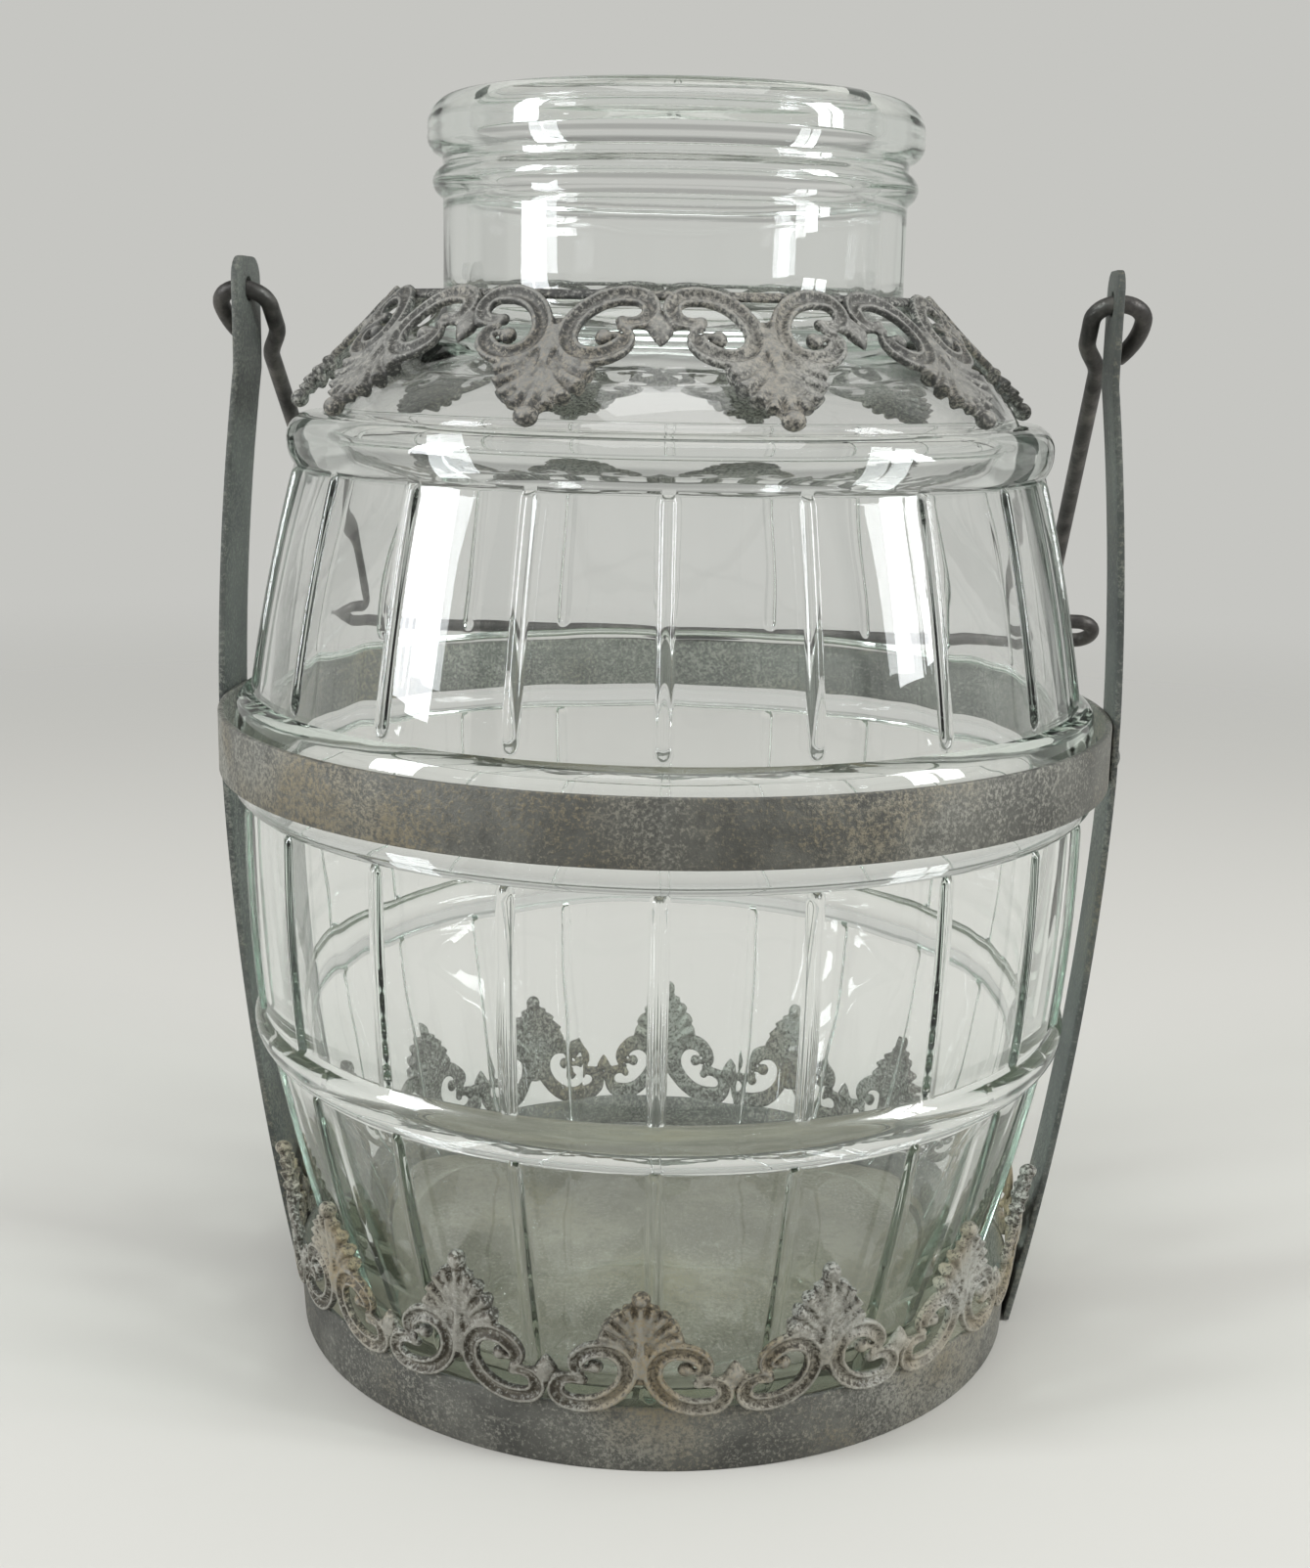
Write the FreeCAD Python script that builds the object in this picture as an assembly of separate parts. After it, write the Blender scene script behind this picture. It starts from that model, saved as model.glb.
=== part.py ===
"""Glass barrel jar in a metal carrier: collar, base tray, middle band, two uprights and a swinging bail.

Millimetres, +Z up. The origin is on the jar's axis at the surface the tray stands on. The two uprights
stand on the X axis, the front faces -Y, and the bail hangs down behind the jar, on the +Y side.
"""

import math
import os

import FreeCAD
import Part

V = FreeCAD.Vector
AXIS = V(0, 0, 1)

# ---------------------------------------------------------------- glass jar
PLATE_THICKNESS = 1.0           # tray floor, which the jar stands on
HEEL_HEIGHT = 9.0               # rounded edge at the foot
BOTTOM_PANEL = 71.0             # heights of the staved panels and the hoops between them
LOWER_HOOP = 13.0
LOWER_PANEL = 56.0
MIDDLE_HOOP = 29.0
UPPER_PANEL = 58.5
UPPER_HOOP = 12.8
SHOULDER_RISE = 28.7
NECK_HEIGHT = 36.2
RIM_HEIGHT = 14.8

BARREL_RADIUS = 116.6           # at the middle hoop, the widest place
MIDDLE_HOOP_STEPS = (3.4, 5.4)  # how far a hoop stands out from the panel below and above it
LOWER_HOOP_RADIUS = 112.2
LOWER_HOOP_STEPS = (5.2, 1.8)
UPPER_HOOP_RADIUS = 100.9
UPPER_HOOP_STEP = 1.9
UPPER_HOOP_ROUND = 3.9          # the flat top starts this far inside the hoop
UPPER_HOOP_SHELF = 5.4          # width of the flat top
DOME_BOW = 2.7                  # how far the shoulder bows out
DOME_OUT = 9.9                  # it ends this far outside the neck and below the neck's foot
DOME_DROP = 7.7
HEEL_RADIUS = 89.0              # where the bottom staves begin
HEEL_ROUND = 8.0
NECK_RADIUS = 60.1
NECK_BEAD_PROUD = 2.7           # thin ring round the neck
NECK_BEAD_DROP = 6.4            # from the rim's lower edge down to the ring's middle
RIM_PROUD = 3.8                 # thick rounded rim
NECK_WALL = 6.5
GLASS_WALL = 6.0
GLASS_BASE = 12.0
STAVES = 20                     # raised ribs stand between the staves of the barrel
STAVE_PHASE = 4.4               # degrees the jar is turned in its carrier
STAVE_BULGE = 0.9               # how far a stave bows out between hoops
RIB_RADIUS = 2.0
RIB_PROUD = 1.2
FUSE_TOLERANCE = 1e-5          # lets the ribs join the glass where their surfaces almost touch

FOOT_RADIUS = HEEL_RADIUS - HEEL_ROUND      # flat ring the glass stands on
HEEL_Z = PLATE_THICKNESS + HEEL_HEIGHT
LOWER_HOOP_Z = (HEEL_Z + BOTTOM_PANEL, HEEL_Z + BOTTOM_PANEL + LOWER_HOOP)
MIDDLE_HOOP_Z = (LOWER_HOOP_Z[1] + LOWER_PANEL, LOWER_HOOP_Z[1] + LOWER_PANEL + MIDDLE_HOOP)
UPPER_HOOP_Z = (MIDDLE_HOOP_Z[1] + UPPER_PANEL, MIDDLE_HOOP_Z[1] + UPPER_PANEL + UPPER_HOOP)
LOWER_HOOP_RADII = (LOWER_HOOP_RADIUS - LOWER_HOOP_STEPS[0], LOWER_HOOP_RADIUS,
                    LOWER_HOOP_RADIUS - LOWER_HOOP_STEPS[1])
MIDDLE_HOOP_RADII = (BARREL_RADIUS - MIDDLE_HOOP_STEPS[0], BARREL_RADIUS,
                     BARREL_RADIUS - MIDDLE_HOOP_STEPS[1])
UPPER_HOOP_RADII = (UPPER_HOOP_RADIUS - UPPER_HOOP_STEP, UPPER_HOOP_RADIUS)
HOOP_SHELF_RADIUS = UPPER_HOOP_RADIUS - UPPER_HOOP_ROUND
SHOULDER_RADIUS = HOOP_SHELF_RADIUS - UPPER_HOOP_SHELF
NECK_FOOT_Z = UPPER_HOOP_Z[1] + SHOULDER_RISE
DOME_ENDS = (V(SHOULDER_RADIUS, 0, UPPER_HOOP_Z[1]),
             V(NECK_RADIUS + DOME_OUT, 0, NECK_FOOT_Z - DOME_DROP))
RIM_Z = (NECK_FOOT_Z + NECK_HEIGHT, NECK_FOOT_Z + NECK_HEIGHT + RIM_HEIGHT)
NECK_BEAD_Z = RIM_Z[0] - NECK_BEAD_DROP
NECK_BEAD_RADIUS = NECK_RADIUS + NECK_BEAD_PROUD
RIM_RADIUS = NECK_RADIUS + RIM_PROUD
MOUTH_RADIUS = NECK_RADIUS - NECK_WALL
RIM_TOP_RADIUS = (RIM_RADIUS + MOUTH_RADIUS) / 2 - 1.0

# ---------------------------------------------------------------- carrier
BAND_CLEARANCE = 1.9            # between the middle hoop and the band round it
BAND_THICKNESS = 1.6
BAND_HEIGHT = 16.4
BAND_BOTTOM_Z = sum(MIDDLE_HOOP_Z) / 2 - BAND_HEIGHT / 2 + 1.3

TRAY_CLEARANCE = 10.2           # between the jar's heel and the tray's wall
TRAY_WALL = 1.2
TRAY_RADIUS = HEEL_RADIUS + TRAY_CLEARANCE + TRAY_WALL      # outside, at the table
TRAY_HEIGHT = 17.5
TRAY_FLARE = 1.1                # how much wider the wall is at its top
TRAY_LACE_HEIGHT = 33.5         # pierced border above the wall
TRAY_LACE_CLEARANCE = 5.1       # from a stave's straight side to the middle of the border's leaf tips
TRAY_LACE_MOTIFS = 14
TRAY_LACE_PHASE = 3.0           # degrees from the front to a motif's centre

LACE_THICKNESS = 1.4
COLLAR_MOTIFS = 10
COLLAR_PHASE = 22.6
COLLAR_GAP = 8.3                # from the neck to the collar's rim
COLLAR_RIM = 1.8                # plain bar along the top of the collar, behind the scrolls
COLLAR_CLEARANCE = 0.3          # between the collar and the shoulder's bulge, where it comes nearest
COLLAR_TIP_OUT = 1.0            # its leaf tips end this far outside the hoop's flat top
COLLAR_LIFT = 1.0               # and this far above it
COLLAR_SHIFT = -2.7             # it lies loose, a little to the left

STRAP_WIDTH = 22.0
STRAP_THICKNESS = 1.8
STRAP_CORNER = 6.0
PIVOT_ABOVE_SHOULDER = 2.5      # from the foot of the neck up to the bail's pivot line
PIVOT_Z = NECK_FOOT_Z + PIVOT_ABOVE_SHOULDER
STRAP_ABOVE_PIVOT = 8.5
STRAP_LEAN = 6.4                # the uprights lean in by this much from band to pivot
STRAP_BOW = 3.6                 # how far the lower stretch bows out
STRAP_LIFT = 0.5                # the straps end just above the table
STRAP_FOOT_GAP = 0.2            # between the strap's lower end and the tray's wall
SEAT_CLEARANCE = 0.3

RIVET_RADIUS = 1.6
RIVET_HEAD_RADIUS = 3.0
RIVET_HEAD_HEIGHT = 1.1
RIVET_SPREAD = 6.0              # rivets stand this far each side of a strap's middle line
RIVET_FIT = 0.15

# ---------------------------------------------------------------- bail
ROD_RADIUS = 2.3
EYE_CLEARANCE = 0.9             # radial room round the rod in the upright's hole
EYE_RADIUS = 6.65               # centre line of the eye
EYE_OUTSET = 1.45               # the eye's centre lies this far outside the upright's middle
EYE_TAIL = 14.0                 # along the leg, from the eye's middle to the rod's end
EYE_STRAIGHT = 8.0              # the eye's inner side runs straight for this long
LEG_JOIN = 20.5                 # along the leg, from the eye's middle to where the leg is straight
LEG_INSET = 1.2                 # the legs lie this far inside the upright's middle
EAR_RADIUS = 5.4                # turned-out ears at the corners of the crossbar
EAR_REACH = 10.6                # from the leg out to the middle of the ear
EAR_BEND = 4.6                  # bend between the leg and the ear


def ring(points, angle=360):
    """Solid turned round the jar's axis from a closed outline of edges or points in the XZ plane."""
    wire = Part.Wire(Part.__sortEdges__(points)) if hasattr(points[0], "Curve") else Part.makePolygon(points)
    return Part.Face(wire).revolve(V(0, 0, 0), AXIS, angle)


def at(radius, z):
    return V(radius, 0, z)


def line(a, b):
    return Part.LineSegment(a, b).toShape()


def arc(a, middle, b):
    return Part.Arc(a, middle, b).toShape()


def bowed(a, b, bow):
    """Arc from a to b in the XZ plane, standing off its chord by bow on the outer side."""
    chord = b - a
    outward = V(chord.z, 0, -chord.x).normalize()
    return arc(a, (a + b) * 0.5 + outward * bow, b)


def save(name, shape):
    if not shape.isValid():
        raise RuntimeError(name + " is not a valid solid")
    shape.exportStep("parts/" + name + ".step")


def turned(shape, degrees):
    """Copy turned about the jar's axis, positive from the front towards the right."""
    copy = shape.copy()
    copy.rotate(V(0, 0, 0), AXIS, degrees)
    return copy


# ---------------------------------------------------------------- the jar
JAR_FOOT_Z = PLATE_THICKNESS
HEEL = at(HEEL_RADIUS, HEEL_Z)
STAVE_ARCS = (
    (HEEL, at(LOWER_HOOP_RADII[0], LOWER_HOOP_Z[0])),
    (at(LOWER_HOOP_RADII[2], LOWER_HOOP_Z[1]), at(MIDDLE_HOOP_RADII[0], MIDDLE_HOOP_Z[0])),
    (at(MIDDLE_HOOP_RADII[2], MIDDLE_HOOP_Z[1]), at(UPPER_HOOP_RADII[0], UPPER_HOOP_Z[0])),
)


def hoop_edge(low, high, radii):
    """Rounded hoop between two staved panels."""
    middle = at(radii[1], (low + high) / 2)
    return arc(at(radii[0], low), middle, at(radii[2], high))


def jar_outside():
    """Edges of the outer outline, from the middle of the foot up to the top of the rim."""
    edges = [line(at(0, JAR_FOOT_Z), at(FOOT_RADIUS, JAR_FOOT_Z))]
    edges.append(tangent_arc(at(FOOT_RADIUS, JAR_FOOT_Z), V(1, 0, 0), HEEL))
    edges.append(bowed(*STAVE_ARCS[0], STAVE_BULGE))
    edges.append(hoop_edge(*LOWER_HOOP_Z, LOWER_HOOP_RADII))
    edges.append(bowed(*STAVE_ARCS[1], STAVE_BULGE))
    low, high = MIDDLE_HOOP_Z
    flank = 3.0
    below, crest, above = MIDDLE_HOOP_RADII
    edges.append(line(at(below, low), at(crest - 0.4, low + flank)))
    edges.append(bowed(at(crest - 0.4, low + flank), at(crest - 1.4, high - flank), 0.7))
    edges.append(line(at(crest - 1.4, high - flank), at(above, high)))
    edges.append(bowed(*STAVE_ARCS[2], STAVE_BULGE))
    low, high = UPPER_HOOP_Z
    crest = at(UPPER_HOOP_RADII[1], low + 0.45 * (high - low))
    edges.append(bowed(at(UPPER_HOOP_RADII[0], low), crest, 0.5))
    edges.append(bowed(crest, at(HOOP_SHELF_RADIUS, high), 1.3))
    edges.append(line(at(HOOP_SHELF_RADIUS, high), at(SHOULDER_RADIUS, high)))
    edges.append(bowed(*DOME_ENDS, DOME_BOW))
    edges.append(bowed(DOME_ENDS[1], at(NECK_RADIUS, NECK_FOOT_Z), -1.5))
    bead = 3.6
    edges.append(line(at(NECK_RADIUS, NECK_FOOT_Z), at(NECK_RADIUS, NECK_BEAD_Z - bead)))
    edges.append(arc(at(NECK_RADIUS, NECK_BEAD_Z - bead), at(NECK_BEAD_RADIUS, NECK_BEAD_Z),
                     at(NECK_RADIUS, NECK_BEAD_Z + bead)))
    edges.append(line(at(NECK_RADIUS, NECK_BEAD_Z + bead), at(NECK_RADIUS, RIM_Z[0])))
    crest_z = RIM_Z[0] + 0.4 * (RIM_Z[1] - RIM_Z[0])
    edges.append(bowed(at(NECK_RADIUS, RIM_Z[0]), at(RIM_RADIUS, crest_z), 1.6))
    edges.append(bowed(at(RIM_RADIUS, crest_z), at(RIM_TOP_RADIUS, RIM_Z[1]), 2.2))
    return edges


def jar_inside():
    """Edges of the inner outline, from the top of the rim down to the middle of the glass floor."""
    floor_z = JAR_FOOT_Z + GLASS_BASE
    lip_z = RIM_Z[1] - 5.0
    throat_z = NECK_FOOT_Z - 4.0
    shoulder = at(UPPER_HOOP_RADII[0] - GLASS_WALL - 1.0, UPPER_HOOP_Z[0] + 2.0)
    widest = at(MIDDLE_HOOP_RADII[0] - GLASS_WALL, (MIDDLE_HOOP_Z[0] + MIDDLE_HOOP_Z[1]) / 2)
    low = at(LOWER_HOOP_RADII[0] - GLASS_WALL, LOWER_HOOP_Z[0])
    heel = at(HEEL_RADIUS - GLASS_WALL, floor_z + 10.0)
    floor_edge = at(HEEL_RADIUS - GLASS_WALL - 10.0, floor_z)
    throat = at(MOUTH_RADIUS, throat_z)
    shoulder_start = at(MOUTH_RADIUS + 6.0, throat_z - 6.0)
    edges = [bowed(at(MOUTH_RADIUS, lip_z), at(RIM_TOP_RADIUS, RIM_Z[1]), -1.0)]
    edges.append(line(at(MOUTH_RADIUS, lip_z), throat))
    edges.append(bowed(shoulder_start, throat, -1.2))
    edges.append(bowed(shoulder, shoulder_start, 4.0))
    edges.append(bowed(widest, shoulder, 2.6))
    edges.append(bowed(low, widest, 1.6))
    edges.append(bowed(heel, low, 0.9))
    edges.append(bowed(floor_edge, heel, 2.5))
    edges.append(line(floor_edge, at(0, floor_z)))
    edges.append(line(at(0, floor_z), at(0, JAR_FOOT_Z)))
    return edges


def rib(start, end, low_inset, high_inset):
    """Raised half-round bead along a stave's edge, with ball ends, inset from the panel's two ends."""
    chord = end - start
    half = chord.Length / 2
    curve_radius = (half * half + STAVE_BULGE * STAVE_BULGE) / (2 * STAVE_BULGE)
    outward = V(chord.z, 0, -chord.x).normalize()
    centre = (start + end) * 0.5 + outward * (STAVE_BULGE - curve_radius)
    along = chord.normalize()

    def point(distance):
        angle = (distance - half) / curve_radius
        reach = curve_radius - (RIB_RADIUS - RIB_PROUD)
        return centre + outward * (reach * math.cos(angle)) + along * (reach * math.sin(angle))

    first, last = point(low_inset), point(2 * half - high_inset)
    sweep = math.degrees((2 * half - low_inset - high_inset) / curve_radius)
    start_angle = (low_inset - half) / curve_radius
    tangent = outward * (-math.sin(start_angle)) + along * math.cos(start_angle)
    section = Part.Face(Part.Wire(Part.makeCircle(RIB_RADIUS, first, tangent)))
    body = section.revolve(centre, V(0, -1, 0), sweep)
    ends = [Part.makeSphere(RIB_RADIUS, p) for p in (first, last)]
    return body.multiFuse(ends)


def jar():
    glass = ring(jar_outside() + jar_inside())
    ribs = []
    insets = ((6.0, -1.0), (-1.0, 2.0), (4.5, 1.5))
    for (start, end), (low, high) in zip(STAVE_ARCS, insets):
        bead = rib(start, end, low, high)
        for stave in range(STAVES):
            ribs.append(turned(bead, STAVE_PHASE - 90 + stave * 360 / STAVES))
    return glass.multiFuse(ribs, FUSE_TOLERANCE)


# ---------------------------------------------------------------- pierced borders
MOTIF_WIDTH = 41.0              # the motif is drawn at this size and scaled to its border
MOTIF_HEIGHT = 34.0


def motif_prisms(pitch, height, depth):
    """A scroll-and-leaf motif and the bud between two of them: solids to both sides of the XY plane, with
    the root edge on y = 0 and the leaf along +Y."""
    wide, tall = pitch / MOTIF_WIDTH / 1.05, height / MOTIF_HEIGHT

    def raised(edges):
        face = Part.Face(Part.Wire(edges))
        face.translate(V(0, 0, -depth))
        return face.extrude(V(0, 0, 2 * depth))

    def oval(x, y, rx, ry):
        rx, ry = rx * wide, ry * tall
        centre = V(x * wide, y * tall, 0)
        if rx > ry:
            return raised([Part.Ellipse(centre + V(rx, 0, 0), centre + V(0, ry, 0), centre).toShape()])
        return raised([Part.Ellipse(centre + V(0, ry, 0), centre + V(rx, 0, 0), centre).toShape()])

    def plate(*corners):
        points = [V(x * wide, y * tall, 0) for x, y in corners + corners[:1]]
        return raised(Part.makePolygon(points).Edges)

    leaf = [oval(0, 21.5, 7.2, 9.0), oval(0, 31.2, 2.5, 2.6)]
    leaf.append(plate((-3.4, 6), (3.4, 6), (3.4, 16), (-3.4, 16)))
    holes = []
    curls = []
    for side in (-1, 1):
        leaf.append(oval(side * 11.2, 8.4, 9.6, 11.0))
        leaf += [oval(side * 9.4, 21.4, 3.0, 3.2), oval(side * 6.8, 25.2, 2.7, 2.9)]
        leaf.append(oval(side * 4.2, 28.4, 2.3, 2.4))
        holes.append(oval(side * 11.2, 8.7, 5.6, 7.0))
        curls.append(oval(side * 12.4, 10.6, 2.6, 2.7))
        x1, x2 = side * 12.4, side * 17.6
        curls.append(plate((x1, 12.4), (x2, 13.4), (x2, 10.4), (x1, 9.4)))
    body = leaf[0].multiFuse(leaf[1:]).cut(holes[0]).cut(holes[1]).multiFuse(curls)
    bud = [oval(0, 8.6, 2.7, 3.2), plate((-2.2, 9.6), (2.2, 9.6), (0, 14.4))]
    bud.append(plate((-3, 3), (3, 3), (3, 8), (-3, 8)))
    return body.removeSplitter(), bud[0].multiFuse(bud[1:]).removeSplitter()


def lace(root, tip, motifs, phase, overlap):
    """Pierced conical border between two points of the XZ plane, whose motifs stand from root to tip."""
    slope = tip - root
    height = slope.Length
    along = slope.normalize()
    outward = V(along.z, 0, -along.x)
    if outward.x < 0:
        outward = outward * -1
    half = outward * (LACE_THICKNESS / 2)
    back, front = root - along * overlap, root + along * height
    shell = ring([back - half, front - half, front + half, back + half, back - half])
    pitch = 2 * math.pi * root.x / motifs
    side = along.cross(outward).y
    rows = ((0, along.x, outward.x, root.x), (side, 0, 0, 0), (0, along.z, outward.z, root.z), (0, 0, 0, 1))
    placement = FreeCAD.Matrix(*[value for row in rows for value in row])
    prisms = [moved(one, placement) for one in motif_prisms(pitch, height, 3 * LACE_THICKNESS + 4)]
    pieces = []
    for number in range(motifs):
        angle = phase - 90 + number * 360 / motifs
        pieces.append(turned(prisms[0], angle))
        pieces.append(turned(prisms[1], angle + 180 / motifs))
    return shell.common(pieces[0].multiFuse(pieces[1:]))


def moved(shape, matrix):
    copy = shape.copy()
    copy.Placement = FreeCAD.Placement(matrix)
    return copy


TRAY_TOP_RADIUS = TRAY_RADIUS + TRAY_FLARE
TRAY_TIP_Z = TRAY_HEIGHT + TRAY_LACE_HEIGHT
STAVE_SPREAD = (LOWER_HOOP_RADII[0] - HEEL_RADIUS) / (LOWER_HOOP_Z[0] - HEEL_Z)
TRAY_TIP_RADIUS = HEEL_RADIUS + (TRAY_TIP_Z - HEEL_Z) * STAVE_SPREAD + TRAY_LACE_CLEARANCE


def tray_ring():
    foot, top = at(TRAY_RADIUS, 0), at(TRAY_TOP_RADIUS, TRAY_HEIGHT)
    inward = V(-TRAY_WALL, 0, 0)
    wall = ring([foot, top, top + inward, foot + inward, foot])
    border = lace(top, at(TRAY_TIP_RADIUS, TRAY_TIP_Z), TRAY_LACE_MOTIFS, TRAY_LACE_PHASE, 4.0)
    return wall.fuse(border)


def tray_plate():
    return Part.makeCylinder(TRAY_RADIUS - TRAY_WALL - 0.1, PLATE_THICKNESS)


def collar_slope():
    """Top and tip of the collar's slope in the XZ plane, before it is moved to the left. The slope passes the
    shoulder's bulge at the clearance on the right, where moving it brings it nearer."""
    start, end = DOME_ENDS
    chord = end - start
    radius = (chord.Length ** 2 / 4 + DOME_BOW ** 2) / (2 * DOME_BOW)
    centre = (start + end) * 0.5 + V(chord.z, 0, -chord.x).normalize() * (DOME_BOW - radius)
    moved_by = V(-abs(COLLAR_SHIFT), 0, 0)
    tip = at(HOOP_SHELF_RADIUS + COLLAR_TIP_OUT, UPPER_HOOP_Z[1] + COLLAR_LIFT)
    away = centre - (tip + moved_by)
    turn = math.asin((radius + LACE_THICKNESS / 2 + COLLAR_CLEARANCE) / away.Length)
    angle = math.atan2(away.z, away.x) % (2 * math.pi) - turn
    top_radius = NECK_RADIUS + COLLAR_GAP
    return at(top_radius, tip.z + (top_radius - tip.x) * math.tan(angle)), tip


def collar():
    top, tip = collar_slope()
    print("collar top", round(top.x, 3), round(top.z, 3), "tip", tip.x, tip.z)
    down = (tip - top).normalize()
    border = lace(top, tip, COLLAR_MOTIFS, COLLAR_PHASE, 0.0)
    across = V(-down.z, 0, down.x) * (LACE_THICKNESS / 2 + 0.3)
    edge = top + down * COLLAR_RIM
    rim = ring([top - across, edge - across, edge + across, top + across, top - across])
    whole = rim.fuse(border)
    whole.translate(V(COLLAR_SHIFT, 0, 0))
    return whole


# ---------------------------------------------------------------- band and uprights
BAND_RADIUS = MIDDLE_HOOP_RADII[1] + BAND_CLEARANCE + BAND_THICKNESS
BAND_TOP_Z = BAND_BOTTOM_Z + BAND_HEIGHT
STRAP_X = BAND_RADIUS + STRAP_THICKNESS / 2         # middle of the strap at the band
PIVOT_X = STRAP_X - STRAP_LEAN
HOLE_RADIUS = ROD_RADIUS + EYE_CLEARANCE


def band():
    outer = Part.makeCylinder(BAND_RADIUS, BAND_HEIGHT, V(0, 0, BAND_BOTTOM_Z))
    return outer.cut(Part.makeCylinder(BAND_RADIUS - BAND_THICKNESS, BAND_HEIGHT, V(0, 0, BAND_BOTTOM_Z)))


def strap_path():
    """Middle line of the right upright, from its lower end to its top."""
    foot = at(TRAY_RADIUS + STRAP_FOOT_GAP + STRAP_THICKNESS / 2, STRAP_LIFT)
    low = at(STRAP_X, BAND_BOTTOM_Z)
    high = at(STRAP_X, BAND_TOP_Z)
    bend = at(PIVOT_X, PIVOT_Z - 20)
    top = at(PIVOT_X, PIVOT_Z + STRAP_ABOVE_PIVOT)
    return [bowed(foot, low, STRAP_BOW), line(low, high), bowed(high, bend, 1.2), line(bend, top)]


def strap():
    """The right upright: a flat strip with rounded top corners and a hole for the bail."""
    wire = Part.Wire(strap_path())
    foot_edge = wire.Edges[0]
    start = foot_edge.valueAt(foot_edge.FirstParameter)
    tangent = foot_edge.tangentAt(foot_edge.FirstParameter)
    normal = V(tangent.z, 0, -tangent.x).normalize()
    half_t, half_w = normal * (STRAP_THICKNESS / 2), V(0, STRAP_WIDTH / 2, 0)
    signs = ((1, 1), (1, -1), (-1, -1), (-1, 1), (1, 1))
    section = Part.makePolygon([start + half_t * a + half_w * b for a, b in signs])
    body = wire.makePipeShell([section], True, False, 1)
    cutter_x = PIVOT_X - 20
    top = PIVOT_Z + STRAP_ABOVE_PIVOT
    low = PIVOT_Z - 100
    w, r = STRAP_WIDTH / 2, STRAP_CORNER
    k = r * (1 - math.sqrt(0.5))
    outline = [
        line(V(cutter_x, -w - 1, low), V(cutter_x, w + 1, low)),
        line(V(cutter_x, w + 1, low), V(cutter_x, w + 1, top - r)),
        line(V(cutter_x, w + 1, top - r), V(cutter_x, w, top - r)),
        arc(V(cutter_x, w, top - r), V(cutter_x, w - k, top - k), V(cutter_x, w - r, top)),
        line(V(cutter_x, w - r, top), V(cutter_x, -w + r, top)),
        arc(V(cutter_x, -w + r, top), V(cutter_x, -w + k, top - k), V(cutter_x, -w, top - r)),
        line(V(cutter_x, -w, top - r), V(cutter_x, -w - 1, top - r)),
        line(V(cutter_x, -w - 1, top - r), V(cutter_x, -w - 1, low)),
    ]
    keep = Part.Face(Part.Wire(outline)).extrude(V(60, 0, 0))
    below = Part.makeBox(400, 100, low + 50, V(-100, -50, -50))
    body = body.common(keep.fuse(below))
    return body.cut(Part.makeCylinder(HOLE_RADIUS, 60, V(cutter_x, 0, PIVOT_Z), V(1, 0, 0)))


def rivets():
    """Rivets of the right upright, each as outer head, inner head and shank along its own axis."""
    found = []
    outer_x = STRAP_X + STRAP_THICKNESS / 2
    band_inside = BAND_RADIUS - BAND_THICKNESS
    inner_x = math.sqrt(band_inside ** 2 - (RIVET_SPREAD + RIVET_HEAD_RADIUS) ** 2) - 0.05
    for side in (-1, 1):
        start = V(inner_x, side * RIVET_SPREAD, BAND_BOTTOM_Z + 0.36 * BAND_HEIGHT)
        found.append((start, V(1, 0, 0), outer_x - inner_x))
    foot_edge = strap_path()[0]
    parameter = foot_edge.Curve.parameter(at(TRAY_RADIUS + 2, TRAY_HEIGHT / 2))
    middle = foot_edge.valueAt(parameter)
    tangent = foot_edge.tangentAt(parameter)
    normal = V(tangent.z, 0, -tangent.x).normalize()
    if normal.x < 0:
        normal = normal * -1
    wall_lean = math.atan2(TRAY_FLARE, TRAY_HEIGHT)
    stand_off = RIVET_HEAD_RADIUS * math.tan(abs(math.atan2(tangent.x, tangent.z) - wall_lean)) + RIVET_FIT
    wall_inside = TRAY_RADIUS - TRAY_WALL + TRAY_FLARE * middle.z / TRAY_HEIGHT
    grip = (middle.x - (wall_inside - stand_off)) / normal.x
    found.append((middle - normal * grip, normal, grip + STRAP_THICKNESS / 2))
    return found


def rivet(start, direction, grip):
    a, h = RIVET_HEAD_RADIUS, RIVET_HEAD_HEIGHT
    k = ((a * a + h * h) / (2 * h)) * (1 - math.cos(math.asin(2 * a * h / (a * a + h * h)) / 2))
    half_way = math.sqrt(max(0.0, ((a * a + h * h) / (2 * h)) ** 2 - ((a * a + h * h) / (2 * h) - k) ** 2))
    outline = [
        arc(at(0, grip + h), at(half_way, grip + h - k), at(a, grip)),
        line(at(a, grip), at(RIVET_RADIUS, grip)),
        line(at(RIVET_RADIUS, grip), at(RIVET_RADIUS, 0)),
        line(at(RIVET_RADIUS, 0), at(a, 0)),
        arc(at(a, 0), at(half_way, k - h), at(0, -h)),
        line(at(0, -h), at(0, grip + h)),
    ]
    body = ring(outline)
    body.Placement = FreeCAD.Placement(start, FreeCAD.Rotation(AXIS, direction))
    return body


def rivet_hole(start, direction, grip):
    return Part.makeCylinder(RIVET_RADIUS + RIVET_FIT, grip + 4, start - direction * 2, direction)


def drilled(shape, sides):
    """Shape with the holes of the rivets on these sides of the carrier."""
    holes = [rivet_hole(*place) for place in rivets()]
    if 1 not in sides:
        return shape.cut(Part.makeCompound([mirrored(hole) for hole in holes]))
    if -1 in sides:
        holes += [mirrored(hole) for hole in holes]
    return shape.cut(Part.makeCompound(holes))


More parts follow.
